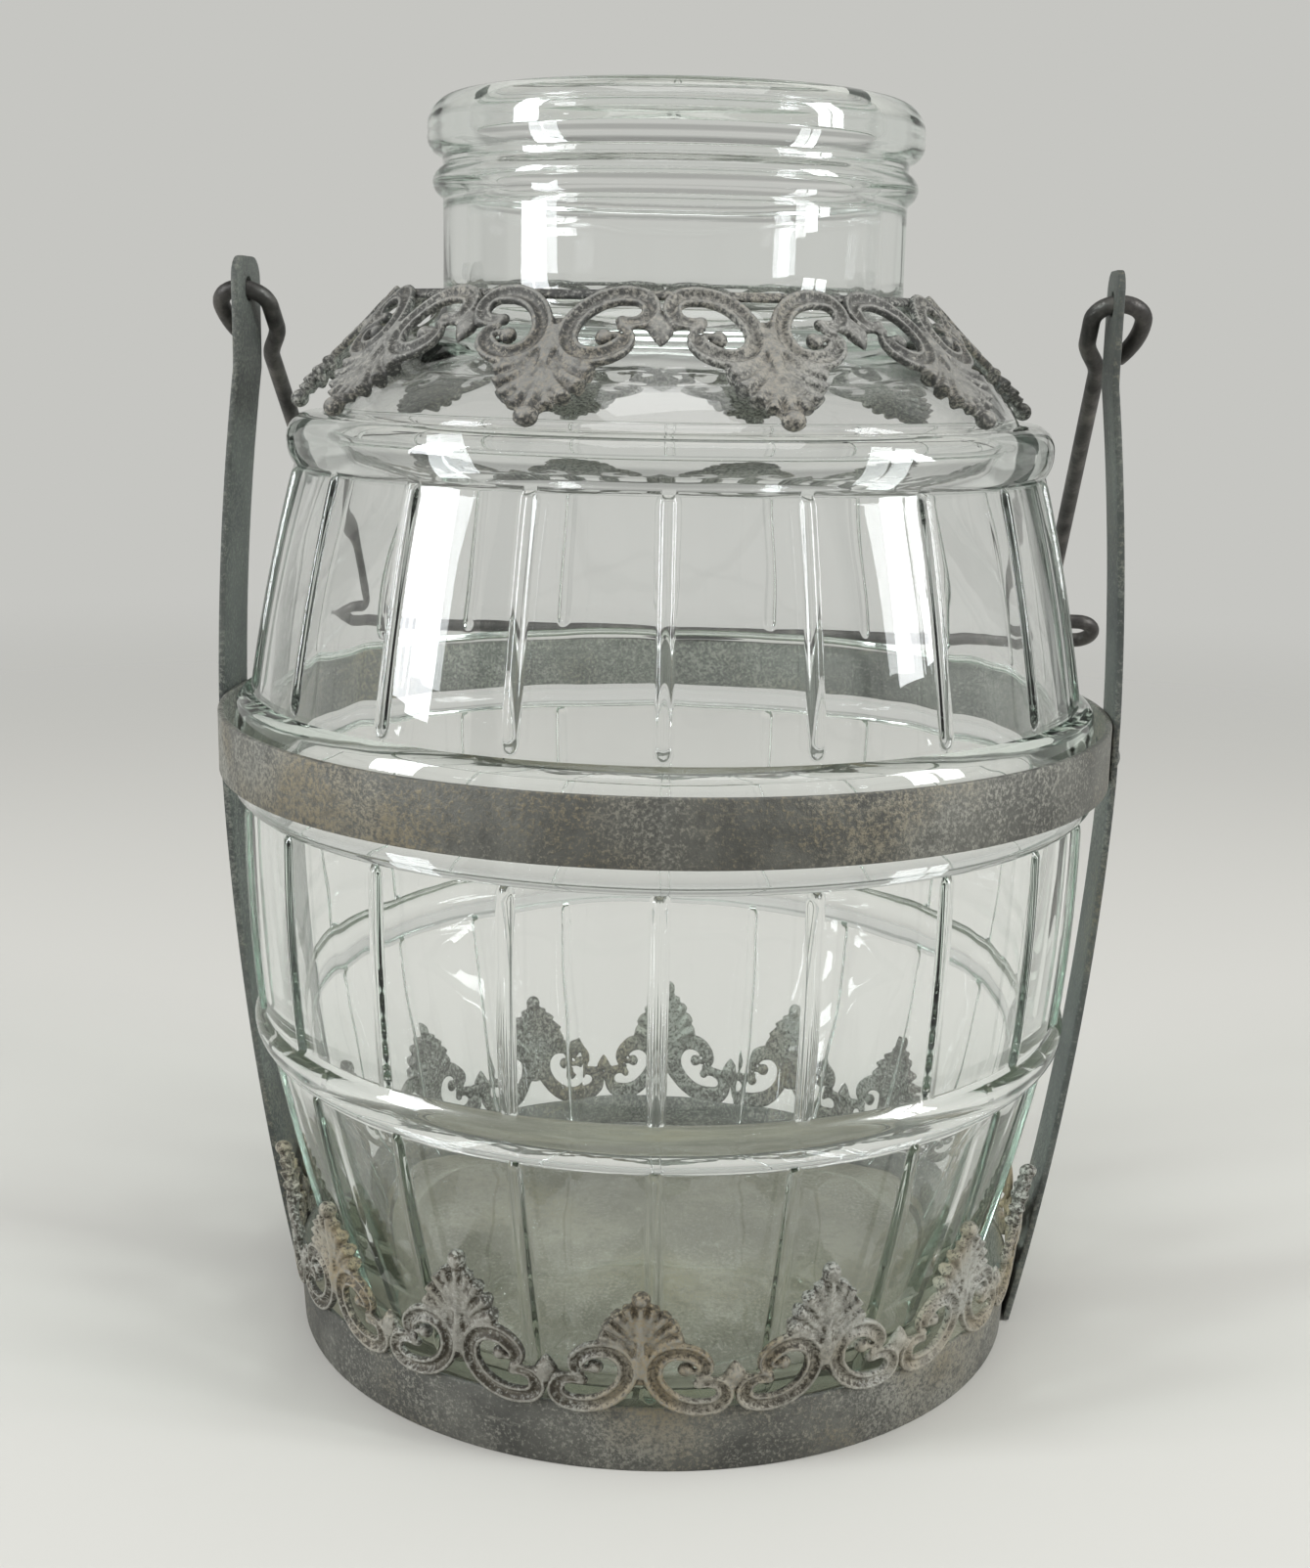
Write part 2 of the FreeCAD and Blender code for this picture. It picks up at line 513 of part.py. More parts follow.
# ---------------------------------------------------------------- bail
BAR_Y = MIDDLE_HOOP_RADII[1] + ROD_RADIUS + SEAT_CLEARANCE
BAR_Z = BAND_TOP_Z + ROD_RADIUS + SEAT_CLEARANCE
REACH = math.hypot(BAR_Y, PIVOT_Z - BAR_Z)
BAR_ANGLE = math.atan2(BAR_Y, PIVOT_Z - BAR_Z)      # from straight down, towards the back


def rod(edges):
    """Round rod along a chain of straight and circular edges."""
    pieces = []
    for edge in edges:
        start = edge.valueAt(edge.FirstParameter)
        tangent = edge.tangentAt(edge.FirstParameter)
        if isinstance(edge.Curve, Part.Line):
            pieces.append(Part.makeCylinder(ROD_RADIUS, edge.Length, start, tangent))
            continue
        section = Part.Face(Part.Wire(Part.makeCircle(ROD_RADIUS, start, tangent)))
        curve = edge.Curve
        turn = math.degrees(edge.Length / curve.Radius)
        spin = (start - curve.Center).cross(tangent)
        pieces.append(section.revolve(curve.Center, spin, turn))
    return pieces


def bail_half():
    """Edges of the right half of the bail, drawn with X outward, -Z down the leg and Y across its plane."""
    leg_x = PIVOT_X - LEG_INSET
    eye_x = PIVOT_X + EYE_OUTSET
    eye_z = -math.sqrt(EYE_RADIUS ** 2 - EYE_OUTSET ** 2)
    outer, inner = V(eye_x + EYE_RADIUS, 0, eye_z), V(eye_x - EYE_RADIUS, 0, eye_z)
    crown = V(eye_x, 0, eye_z + EYE_RADIUS)
    tail = V(leg_x + 2 * ROD_RADIUS + SEAT_CLEARANCE, 0, eye_z - EYE_TAIL)
    edges = [tangent_arc(outer, V(0, 0, -1), tail), arc(outer, crown, inner)]
    straight_end = inner - V(0, 0, EYE_STRAIGHT)
    joined = V(leg_x, 0, eye_z - LEG_JOIN)
    middle = (straight_end + joined) * 0.5
    edges.append(line(inner, straight_end))
    edges.append(tangent_arc(straight_end, V(0, 0, -1), middle))
    edges.append(tangent_arc(joined, V(0, 0, 1), middle))
    bar_z, arm_z = -REACH, -REACH + 2 * EAR_RADIUS
    bend_k = EAR_BEND * (1 - math.sqrt(0.5))
    bend_top, bend_out = V(leg_x, 0, arm_z + EAR_BEND), V(leg_x + EAR_BEND, 0, arm_z)
    ear_top, ear_low = V(leg_x + EAR_REACH, 0, arm_z), V(leg_x + EAR_REACH, 0, bar_z)
    edges.append(line(joined, bend_top))
    edges.append(arc(bend_top, V(leg_x + bend_k, 0, arm_z + bend_k), bend_out))
    edges.append(line(bend_out, ear_top))
    edges.append(arc(ear_top, V(leg_x + EAR_REACH + EAR_RADIUS, 0, bar_z + EAR_RADIUS), ear_low))
    edges.append(line(ear_low, V(0, 0, bar_z)))
    return edges


def tangent_arc(start, direction, end):
    """Arc in the XZ plane that leaves start along direction and reaches end."""
    reach = end - start
    normal = V(0, 1, 0).cross(direction)
    if normal.dot(reach) < 0:
        normal = normal * -1
    radius = reach.dot(reach) / (2 * normal.dot(reach))
    centre = start + normal * radius
    middle_out = ((start + end) * 0.5 - centre).normalize()
    return arc(start, centre + middle_out * radius, end)


def bail():
    pieces = rod(bail_half())
    half = pieces[0].multiFuse(pieces[1:])
    whole = half.fuse(half.mirror(V(0, 0, 0), V(1, 0, 0)))
    whole.rotate(V(0, 0, 0), V(1, 0, 0), math.degrees(BAR_ANGLE))
    whole.translate(V(0, 0, PIVOT_Z))
    return whole


def mirrored(shape):
    return shape.mirror(V(0, 0, 0), V(1, 0, 0))


def main():
    os.makedirs("parts", exist_ok=True)
    right = drilled(strap(), (1,))
    right_rivets = [rivet(*place) for place in rivets()]
    nodes = {
        "jar": jar(),
        "collar": collar(),
        "base_ring": drilled(tray_ring(), (-1, 1)),
        "base_plate": tray_plate(),
        "middle_band": drilled(band(), (-1, 1)),
        "upright_right": right,
        "upright_left": mirrored(right),
        "rivets": Part.makeCompound(right_rivets + [mirrored(one) for one in right_rivets]),
        "bail": bail(),
    }
    for name, shape in nodes.items():
        solids = shape.Solids
        print(name, "solids", len(solids), "valid", shape.isValid(), "volume", round(shape.Volume),
              "faces", len(shape.Faces))
        save(name, solids[0] if len(solids) == 1 else shape)
    print("bail range", round(2 * (180 - math.degrees(BAR_ANGLE)), 2), "pivot", PIVOT_X, PIVOT_Z)


main()
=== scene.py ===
import math

import bmesh
import bpy
from mathutils import Matrix, Vector

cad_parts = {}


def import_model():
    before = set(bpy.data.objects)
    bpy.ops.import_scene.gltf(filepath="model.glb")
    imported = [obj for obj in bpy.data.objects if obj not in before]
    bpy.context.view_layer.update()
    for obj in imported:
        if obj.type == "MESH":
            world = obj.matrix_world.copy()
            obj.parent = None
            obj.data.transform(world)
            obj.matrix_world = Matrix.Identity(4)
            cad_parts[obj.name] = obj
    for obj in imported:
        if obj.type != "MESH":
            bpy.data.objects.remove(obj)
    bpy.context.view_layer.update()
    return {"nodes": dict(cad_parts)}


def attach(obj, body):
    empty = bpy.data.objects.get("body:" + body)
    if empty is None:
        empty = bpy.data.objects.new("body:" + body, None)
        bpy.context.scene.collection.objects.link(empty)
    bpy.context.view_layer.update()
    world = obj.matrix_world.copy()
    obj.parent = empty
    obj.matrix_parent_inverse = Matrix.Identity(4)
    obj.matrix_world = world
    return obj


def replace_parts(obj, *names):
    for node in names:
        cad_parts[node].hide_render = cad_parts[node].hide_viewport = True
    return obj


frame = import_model()

MM = 0.001


# ------------------------------------------------------------------ small tools
def srgb(hex_colour):
    """An sRGB hex value as the linear colour that sockets take."""
    channels = [int(hex_colour[i:i + 2], 16) / 255 for i in (1, 3, 5)]
    linear = [c / 12.92 if c <= 0.04045 else ((c + 0.055) / 1.055) ** 2.4 for c in channels]
    return (*linear, 1.0)


def grey(level):
    """A linear grey, for masks and for brightness."""
    return (level, level, level, 1.0)


def node(tree, kind, values=None, links=None, stops=None, **settings):
    """Adds a node with its settings, its sockets' values, its links and a ramp's stops, and returns it."""
    made = tree.nodes.new(kind)
    for name, value in settings.items():
        setattr(made, name, value)
    for name, value in (values or {}).items():
        made.inputs[name].default_value = value
    for name, source in (links or {}).items():
        tree.links.new(source if hasattr(source, "is_output") else source.outputs[0], made.inputs[name])
    if stops:
        elements = made.color_ramp.elements
        while len(elements) < len(stops):
            elements.new(0.5)
        for element, (position, colour) in zip(elements, stops):
            element.position = position
            element.color = colour
    return made


def material(name):
    """A new material with no nodes, and its node tree."""
    made = bpy.data.materials.new(name)
    made.use_nodes = True
    made.node_tree.nodes.clear()
    return made, made.node_tree


def finish_material(tree, shader, volume=None):
    """Joins the shader, and the volume where there is one, to the material's output."""
    links = {"Surface": shader}
    if volume:
        links["Volume"] = volume
    node(tree, "ShaderNodeOutputMaterial", links=links)


def piece(name, bm, surface, body, smooth):
    """Turns a bmesh into an object that rides on a body, or on none if it is part of the stage. Edges that
    turn by more than smooth degrees stay sharp, and with 0 all faces are flat."""
    mesh = bpy.data.meshes.new(name)
    bm.to_mesh(mesh)
    bm.free()
    made = bpy.data.objects.new(name, mesh)
    bpy.context.scene.collection.objects.link(made)
    mesh.materials.append(surface)
    if smooth:
        for polygon in mesh.polygons:
            polygon.use_smooth = True
        mesh.set_sharp_from_angle(angle=math.radians(smooth))
    if body:
        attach(made, body)
    return made


def bow(a, b, rise, count):
    """Points of an arc from a to b, a excluded, that stands off its chord by rise on the outer side."""
    a, b = Vector(a), Vector(b)
    chord = b - a
    half = chord.length / 2
    if abs(rise) < 1e-6:
        return [a + chord * (i / count) for i in range(1, count + 1)]
    outward = Vector((chord.y, -chord.x)).normalized()
    radius = (half * half + rise * rise) / (2 * abs(rise))
    side = 1 if rise > 0 else -1
    centre = (a + b) / 2 + outward * side * (abs(rise) - radius)
    sweep = 2 * math.asin(min(1.0, half / radius))
    points = []
    for i in range(1, count + 1):
        t = -sweep / 2 + sweep * i / count
        points.append(centre + outward * side * radius * math.cos(t)
                      + chord.normalized() * radius * math.sin(t))
    return points


# ------------------------------------------------------------------ materials
def old_clear_glass():
    """Pressed soda-lime glass: clear where it's thin, aqua along edges and through the thick foot, with the
    slow ripples of a mould. Lamps pass through it, so what stands inside or behind it is lit."""
    made, tree = material("old_clear_glass")
    place = node(tree, "ShaderNodeTexCoord").outputs["Object"]
    # ripples about 33 mm wide and 80 mm tall
    drawn_out = node(tree, "ShaderNodeMapping", {"Scale": (1.0, 1.0, 0.4)}, {"Vector": place})
    ripple = node(tree, "ShaderNodeTexNoise", {"Scale": 30.0, "Detail": 1.5, "Roughness": 0.4},
                  {"Vector": drawn_out})
    bump = node(tree, "ShaderNodeBump", {"Strength": 0.4, "Distance": 0.0018}, {"Height": ripple})
    glass = node(tree, "ShaderNodeBsdfPrincipled",
                 {"Base Color": srgb("#ffffff"), "Roughness": 0.01, "IOR": 1.5, "Transmission Weight": 1.0},
                 {"Normal": bump})
    clear = node(tree, "ShaderNodeBsdfTransparent", {"Color": srgb("#fcfefd")})
    rays = node(tree, "ShaderNodeLightPath")
    either = node(tree, "ShaderNodeMath",
                  links={0: rays.outputs["Is Shadow Ray"], 1: rays.outputs["Is Diffuse Ray"]},
                  operation="MAXIMUM")
    mixed = node(tree, "ShaderNodeMixShader", links={"Fac": either, 1: glass, 2: clear})
    tint = node(tree, "ShaderNodeVolumeAbsorption", {"Color": srgb("#c6e6d4"), "Density": 6.0})
    finish_material(tree, mixed, tint)
    return made


def weathered_zinc(name, deep_tone_and_shade, plain, dust, stain, ridges_highlight_and_wear=None, hollows_shade_and_patina=None, metallic=0.5, roughness=0.6,
                   speckle=0.0):
    """Zinc-washed sheet with an aged patina: a dark matt grey, clouded over a few centimetres, with pale
    flecks of about a millimetre that gather in dusty patches, some of them stained buff, and a few drawn-out
    scuffs. The flecks are a little coarser than real ones, so that they show. Speckle above 0 gives more of
    the pale flecks and more, but fainter, dark pits. Cast ornament also gets painted shade and a painted
    highlight from the attribute on its vertices. It is light where its surface faces straight out, and darker
    where its sides turn away and in its hollows. It is also darker on its low parts, which is partly patina."""
    made, tree = material(name)
    place = node(tree, "ShaderNodeTexCoord").outputs["Object"]
    # clouds of about 33 mm, dusty patches of 60 mm, stains of 43 mm, flecks of 1 mm and pits of 3 mm
    cloud = node(tree, "ShaderNodeTexNoise",
                 {"Scale": 30.0, "Detail": 4.0, "Roughness": 0.6, "Distortion": 0.5}, {"Vector": place})
    patch = node(tree, "ShaderNodeTexNoise", {"Scale": 17.0, "Detail": 3.0, "Roughness": 0.55},
                 {"Vector": place})
    tint = node(tree, "ShaderNodeTexNoise", {"Scale": 23.0, "Detail": 2.0}, {"Vector": place})
    fleck = node(tree, "ShaderNodeTexNoise", {"Scale": 950.0, "Detail": 3.0, "Roughness": 0.75},
                 {"Vector": place})
    grain = node(tree, "ShaderNodeTexNoise", {"Scale": 300.0, "Detail": 5.0, "Roughness": 0.7},
                 {"Vector": place})
    # scuffs about 8 mm long and 1.4 mm tall
    flat = node(tree, "ShaderNodeMapping", {"Scale": (120.0, 120.0, 700.0)}, {"Vector": place})
    scuff = node(tree, "ShaderNodeTexNoise", {"Scale": 1.0, "Detail": 4.0, "Roughness": 0.65},
                 {"Vector": flat})
    colour = node(tree, "ShaderNodeValToRGB", links={"Fac": cloud},
                  stops=((0.38, srgb(deep_tone_and_shade)), (0.62, srgb(plain)))).outputs["Color"]
    # Painted shade and highlight on cast ornament. The vertex attribute read here, held as height, is high
    # where the surface faces straight out and falls where it turns away. It is also lower on low parts, which
    # is partly patina. The ramp paints the deep colour on turned-away sides, the hollows colour between, and
    # the ridges colour on outward faces.
    if ridges_highlight_and_wear:
        height = node(tree, "ShaderNodeAttribute", attribute_name="painted_shade_and_patina").outputs["Fac"]
        patchy = node(tree, "ShaderNodeMath", {1: 0.3, 2: -0.15}, {0: fleck}, operation="MULTIPLY_ADD")
        uneven = node(tree, "ShaderNodeMath", links={0: height, 1: patchy}, operation="ADD")
        shade_and_patina_colour = node(tree, "ShaderNodeValToRGB", links={"Fac": uneven},
                    stops=((0.08, srgb(deep_tone_and_shade)), (0.36, srgb(hollows_shade_and_patina)), (0.66, srgb(ridges_highlight_and_wear))))
        colour = node(tree, "ShaderNodeMix", {"Factor": 0.8}, {"A": colour, "B": shade_and_patina_colour},
                      data_type="RGBA").outputs["Result"]
    stained = node(tree, "ShaderNodeValToRGB", links={"Fac": tint}, stops=((0.48, grey(0)), (0.64, grey(1))))
    powder = node(tree, "ShaderNodeMix", {"A": srgb(dust), "B": srgb(stain)}, {"Factor": stained},
                  data_type="RGBA")
    crowd = node(tree, "ShaderNodeMath", {1: 0.55}, {0: patch, 2: fleck}, operation="MULTIPLY_ADD")
    dry = node(tree, "ShaderNodeValToRGB", links={"Fac": crowd},
               stops=((0.77 - speckle, grey(0)), (0.93 - speckle, grey(0.9))))
    worn = node(tree, "ShaderNodeValToRGB", links={"Fac": scuff}, stops=((0.6, grey(0)), (0.72, grey(0.7))))
    either = node(tree, "ShaderNodeMath", links={0: dry, 1: worn}, operation="MAXIMUM")
    colour = node(tree, "ShaderNodeMix",
                  links={"Factor": either, "A": colour, "B": powder.outputs["Result"]}, data_type="RGBA")
    dark = node(tree, "ShaderNodeValToRGB", links={"Fac": grain},
                stops=((0.34 + speckle / 3, grey(0.7 - 4 * speckle)), (0.48 + speckle / 3, grey(0))))
    colour = node(tree, "ShaderNodeMix", {"B": srgb(deep_tone_and_shade)}, {"Factor": dark, "A": colour.outputs["Result"]},
                  data_type="RGBA")
    sheen = node(tree, "ShaderNodeMapRange", {"To Min": roughness - 0.14, "To Max": roughness + 0.14},
                 {"Value": grain})
    pits = node(tree, "ShaderNodeMath", links={0: grain, 1: fleck}, operation="ADD")
    bump = node(tree, "ShaderNodeBump", {"Strength": 0.7, "Distance": 0.00035}, {"Height": pits})
    metal = node(tree, "ShaderNodeBsdfPrincipled", {"Metallic": metallic},
                 {"Base Color": colour.outputs["Result"], "Roughness": sheen, "Normal": bump})
    finish_material(tree, metal)
    return made


def blackened_wire():
    """Drawn iron wire, oxidised brown-black, faintly glossy where hands rub it. Its stains are about 7 mm
    long and its specks 0.8 mm."""
    made, tree = material("blackened_iron_wire")
    place = node(tree, "ShaderNodeTexCoord").outputs["Object"]
    patch = node(tree, "ShaderNodeTexNoise", {"Scale": 140.0, "Detail": 4.0, "Roughness": 0.6},
                 {"Vector": place})
    speck = node(tree, "ShaderNodeTexNoise", {"Scale": 1300.0, "Detail": 2.0}, {"Vector": place})
    colour = node(tree, "ShaderNodeValToRGB", links={"Fac": patch},
                  stops=((0.3, srgb("#2c2a28")), (0.5, srgb("#444240")), (0.72, srgb("#67645f"))))
    bump = node(tree, "ShaderNodeBump", {"Strength": 0.5, "Distance": 0.00025}, {"Height": speck})
    metal = node(tree, "ShaderNodeBsdfPrincipled", {"Metallic": 0.6, "Roughness": 0.48},
                 {"Base Color": colour, "Normal": bump})
    finish_material(tree, metal)
    return made


GLASS = old_clear_glass()
COLLAR_LACE = weathered_zinc("weathered_zinc_collar", deep_tone_and_shade="#3d3d3b", plain="#74736e", dust="#a3a29b",
                             stain="#958e80", ridges_highlight_and_wear="#8d8c87", hollows_shade_and_patina="#595854", metallic=0.3, speckle=0.04)
TRAY_LACE = weathered_zinc("weathered_zinc_tray_border", deep_tone_and_shade="#35312a", plain="#6b6558", dust="#a5a59d",
                           stain="#92856b", ridges_highlight_and_wear="#96948b", hollows_shade_and_patina="#534d41", metallic=0.3, speckle=0.06)
STRIP = weathered_zinc("weathered_zinc_strip", deep_tone_and_shade="#4f4f4b", plain="#6c6c66", dust="#95948b",
                       stain="#877e69", speckle=0.025)
STRAP = weathered_zinc("weathered_zinc_strap", deep_tone_and_shade="#474a48", plain="#5e615d", dust="#7d7f78",
                       stain="#797565")
TRAY = weathered_zinc("dull_zinc_floor", deep_tone_and_shade="#837c6f", plain="#9b9385", dust="#b1a99c", stain="#9c917a",
                      metallic=0.1, roughness=0.7)
WIRE = blackened_wire()


# ------------------------------------------------------------------ the glass jar
STAVES = 20
STAVE_PHASE = math.radians(4.4 - 90)
PANEL_BOW = 0.9
# a rib is a bead of this radius that stands this proud of the staves
RIB_RADIUS = 2.0
RIB_PROUD = 1.2
# half a stave in degrees, from the middle of a rib to the middle of the stave, fine across the rib
HALF_STAVE = (0.28, 0.28, 0.24, 0.2, 0.25, 0.5, 1.45, 2.8, 3.0)
# how far the ribs stop short of a panel's lower and upper ends, on the lower, middle and upper panels; below 0
# they run on into the hoop
RIB_ENDS = ((6.0, 2.6), (-1.0, 2.6), (4.5, 2.2))
# heights that part the three panels
PANEL_LIMITS = (85, 160)
# a rib's end is this many times as long as a round one
RIB_TAPER = 1.8


def jar_outline():
    """Outline from the middle of the foot over the rim to the middle of the glass floor, as (radius, height,
    distance along a staved panel or -1, that panel's length)."""
    outline = [(0.0, 1.0, -1, 0)]

    def here():
        return Vector(outline[-1][:2])

    def go(points, panel=False):
        """Goes on through the points."""
        length = sum((b - a).length for a, b in zip([here()] + points, points))
        run, last = 0.0, here()
        for p in points:
            run += (p - last).length
            last = p
            outline.append((p.x, p.y, run if panel and run < length - 1e-6 else -1, length))

    def arcs(*steps):
        """Goes on by arcs, each given as its end, its rise and its number of points."""
        start = here()
        for end, rise, count in steps:
            go(bow(start, end, rise, count))
            start = end

    def fine_panel(end):
        """Goes on along a staved panel, finely divided at its two ends, where the ribs are rounded off."""
        start, end = here(), Vector(end)
        samples = 400
        even = bow(start, end, PANEL_BOW, samples)
        length = (end - start).length
        wanted = [0.6, 1.4, 2.2, 3.0, 3.8, 4.6, 5.4, 6.2, 7.2, 9.0]
        wanted += [length * k / 9 for k in range(2, 8)]
        wanted += [length - w for w in (9.0, 6.0, 4.2, 3.2, 2.4, 1.6, 0.8)] + [length]
        go([even[min(samples - 1, max(0, round(w / length * samples) - 1))] for w in sorted(wanted)],
           panel=True)

    # foot and its round corner
    corner = 8.05
    go([Vector((r, 1.0)) for r in (20, 45, 66, 78, 81)])
    go([Vector((81 + corner * math.sin(a), 9.05 - corner * math.cos(a)))
        for a in [math.radians(d) for d in (20, 40, 60, 78)]])
    go([Vector((89.0, 10.0))])
    # lower panel and the hoop above it
    fine_panel((107.0, 81.0))
    arcs(((112.2, 87.5), 0.9, 5), ((110.4, 94.0), 0.9, 5))
    # middle panel and the broad hoop inside the metal band
    fine_panel((113.2, 150.0))
    arcs(((116.2, 153.0), 0.3, 3), ((115.2, 176.0), 0.7, 6))
    arcs(((111.2, 179.0), 0.5, 4))
    # upper panel, the top hoop and its ledge
    fine_panel((99.0, 237.5))
    arcs(((100.9, 243.3), 0.5, 4), ((97.0, 250.3), 1.3, 6))
    go([Vector((96.4, 250.35)), Vector((92.4, 250.35)), Vector((91.5, 250.6))])
    # domed shoulder and neck
    arcs(((70.0, 271.3), 2.7, 12), ((60.1, 279.0), -1.5, 6))
    go([Vector((60.1, z)) for z in (286, 295, 302, 304.8)])
    # bead and rolled rim
    arcs(((62.8, 308.8), 0.6, 4), ((60.3, 312.6), 0.6, 4))
    go([Vector((60.1, 313.4)), Vector((60.3, 315.2))])
    arcs(((63.9, 321.1), 1.5, 6), ((57.75, 330.0), 2.2, 9))
    arcs(((53.6, 325.0), 1.0, 6))
    # inside, from the mouth down to the glass floor
    go([Vector((53.6, z)) for z in (315, 300, 285, 275)])
    arcs(((59.6, 269.0), 1.2, 5), ((92.0, 239.5), -7.2, 16))
    arcs(((107.2, 164.5), -2.6, 12), ((101.0, 81.0), -1.6, 10))
    arcs(((83.0, 23.0), -0.9, 8), ((73.0, 13.0), -2.5, 7))
    go([Vector((r, 13.0)) for r in (60, 40, 20, 0)])
    return outline


def glass_jar():
    """The outline spun stave by stave round the jar's axis, with a rib raised between every two staves."""
    bm = bmesh.new()
    along = bm.verts.layers.float.new("along")
    panel = bm.verts.layers.float.new("panel")
    start = Matrix.Rotation(STAVE_PHASE, 3, "Z")
    verts = []
    for radius, height, run, length in jar_outline():
        vert = bm.verts.new(start @ Vector((radius * MM, 0, height * MM)))
        vert[along] = run
        vert[panel] = length
        verts.append(vert)
    edges = [bm.edges.new(pair) for pair in zip(verts, verts[1:])]
    geom = verts + edges
    for step in (HALF_STAVE + HALF_STAVE[::-1]) * STAVES:
        geom = bmesh.ops.spin(bm, geom=geom, cent=(0, 0, 0), axis=(0, 0, 1), angle=math.radians(step),
                              steps=1, use_duplicate=False)["geom_last"]
    bmesh.ops.remove_doubles(bm, verts=bm.verts, dist=1e-6)
    bmesh.ops.recalc_face_normals(bm, faces=bm.faces)
    pitch = 2 * math.pi / STAVES
    for vert in bm.verts:
        run = vert[along]
        if run < 0:
            continue
        height = vert.co.z / MM
        low, high = RIB_ENDS[sum(height >= limit for limit in PANEL_LIMITS)]
        radius = math.hypot(vert.co.x, vert.co.y)
        turn = (math.atan2(vert.co.y, vert.co.x) - STAVE_PHASE + pitch / 2) % pitch - pitch / 2
        past = max(0.0, low - run, run - (vert[panel] - high))
        away = math.hypot(turn * radius / MM, past / RIB_TAPER)
        if away < RIB_RADIUS:
            lift = math.sqrt(RIB_RADIUS ** 2 - away ** 2) - (RIB_RADIUS - RIB_PROUD)
            if lift > 0:
                vert.co *= Vector((1 + lift * MM / radius, 1 + lift * MM / radius, 1))
    return piece("glass_jar", bm, GLASS, "carrier", smooth=55)


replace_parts(glass_jar(), "jar")


# ------------------------------------------------------------------ pierced borders
# the motif as drawn: the distance from one to the next, its height, and its leaf's start and length
MOTIF_PITCH = 41.0
MOTIF_HEIGHT = 34.0
LEAF_START = 14
LEAF_LENGTH = 20
# height of the scrolls' rims above the middle of the casting, and how much deeper the casting is than drawn
RIM_HEIGHT = 1.5
RELIEF_DEPTH = 1.25


def from_curve(curve):
    """The mesh of a curve, as a bmesh in the curve's own units; the curve itself is removed."""
    holder = bpy.data.objects.new("curve", curve)
    bpy.context.scene.collection.objects.link(holder)
    mesh = bpy.data.meshes.new_from_object(holder.evaluated_get(bpy.context.evaluated_depsgraph_get()))
    bm = bmesh.new()
    bm.from_mesh(mesh)
    bpy.data.objects.remove(holder)
    bpy.data.curves.remove(curve)
    bpy.data.meshes.remove(mesh)
    return bm


def spline(curve, points, cyclic=False, kind="BEZIER"):
    """Smooth or straight-sided line through (x, y, radius) points, added to the curve."""
    made = curve.splines.new(kind)
    target = made.bezier_points if kind == "BEZIER" else made.points
    target.add(len(points) - 1)
    for point, (x, y, radius) in zip(target, points):
        point.co = (x, y, 0) if kind == "BEZIER" else (x, y, 0, 1)
        point.radius = radius
        if kind == "BEZIER":
            point.handle_left_type = point.handle_right_type = "AUTO"
    made.use_cyclic_u = cyclic


def stroke(points, thick, profile=None, fine=5):
    """Round or profiled strip along points (x, y, radius), lying flat in XY."""
    curve = bpy.data.curves.new("stroke", "CURVE")
    curve.dimensions = "3D"
    curve.twist_mode = "Z_UP"
    curve.resolution_u = fine
    curve.use_fill_caps = True
    if profile:
        curve.bevel_mode = "OBJECT"
        curve.bevel_object = profile
    else:
        curve.bevel_depth = 1.0
        curve.bevel_resolution = 2
    spline(curve, points)
    bm = from_curve(curve)
    bmesh.ops.scale(bm, vec=(1, 1, thick), verts=bm.verts)
    return bm


def band_section():
    """Section of a scroll: a flat band with a raised rim along each edge and a groove between them."""
    curve = bpy.data.curves.new("scroll_section", "CURVE")
    curve.dimensions = "2D"
    outline = ((-2.0, -0.6), (2.0, -0.6), (2.2, 0.2), (2.0, 0.85), (1.6, 1.1), (1.15, 0.8), (0.7, 0.1),
               (0, -0.1), (-0.7, 0.1), (-1.15, 0.8), (-1.6, 1.1), (-2.0, 0.85), (-2.2, 0.2))
    spline(curve, [(x, y, 1) for x, y in outline], cyclic=True, kind="POLY")
    holder = bpy.data.objects.new("scroll_section", curve)
    bpy.context.scene.collection.objects.link(holder)
    return holder


def plate(outline, thickness, edge):
    """Flat plate with a rounded edge, from points (x, y)."""
    curve = bpy.data.curves.new("plate", "CURVE")
    curve.dimensions = "2D"
    curve.fill_mode = "BOTH"
    curve.extrude = thickness / 2 - edge
    curve.bevel_depth = edge
    curve.bevel_resolution = 1
    curve.resolution_u = 4
    spline(curve, [(x, y, 1) for x, y in outline], cyclic=True)
    return from_curve(curve)


def add(bm, part, shift=0.0):
    """Adds another bmesh to bm, raised by shift."""
    bmesh.ops.translate(part, vec=(0, 0, shift), verts=part.verts)
    mesh = bpy.data.meshes.new("part")
    part.to_mesh(mesh)
    part.free()
    bm.from_mesh(mesh)
    bpy.data.meshes.remove(mesh)


def ball(bm, x, y, radius, height):
    """Adds a flattened ball to bm, such as the eye of a scroll."""
    part = bmesh.new()
    bmesh.ops.create_uvsphere(part, u_segments=12, v_segments=8, radius=radius)
    bmesh.ops.scale(part, vec=(1, 1, height / radius), verts=part.verts)
    bmesh.ops.translate(part, vec=(x, y, 0), verts=part.verts)
    add(bm, part)


